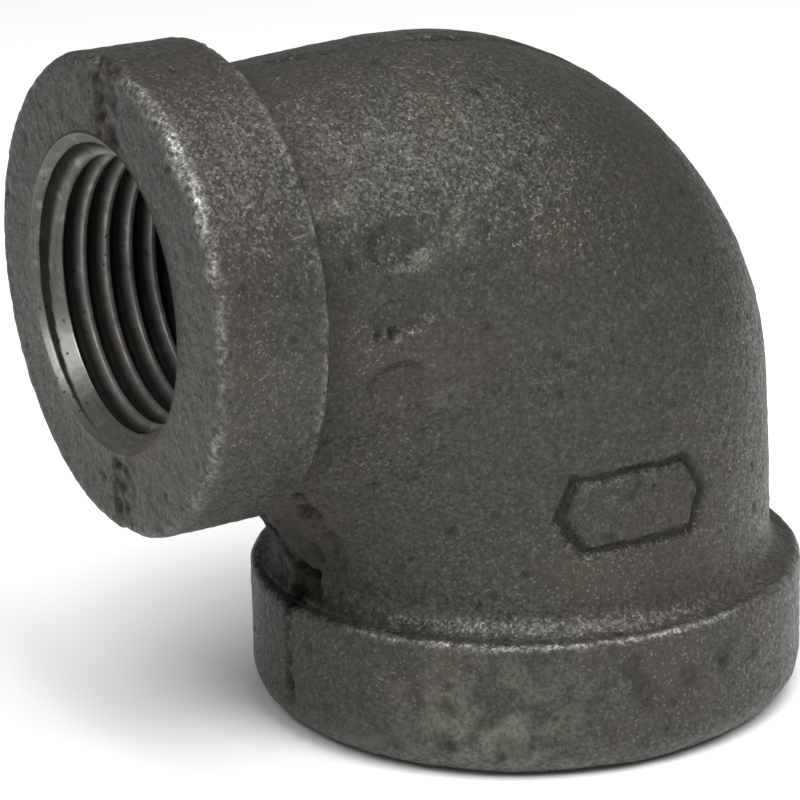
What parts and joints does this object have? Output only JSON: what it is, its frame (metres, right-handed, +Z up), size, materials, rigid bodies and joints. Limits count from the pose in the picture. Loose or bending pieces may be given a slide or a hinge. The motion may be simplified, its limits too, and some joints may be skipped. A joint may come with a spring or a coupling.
{
  "type": "reducing pipe elbow",
  "caption": "Right-angle cast iron pipe elbow that joins a larger threaded pipe to a smaller one, with a heavy band round each mouth.",
  "frame": {"origin": "middle of the bounding box in X and Y, on the plane of the large mouth's face", "axes": "+Z up, away from the large mouth's face; the small mouth faces -X; Y = 0 is the plane of both pipe axes"},
  "size_m": [0.0546, 0.0414, 0.0527],
  "materials": {
    "cast_iron": "as-cast, fine sand grain",
    "machined_thread": "cut threads, oiled"
  },
  "bodies": {
    "root": {"elbow_casting": "cast_iron"}
  },
  "joints": []
}
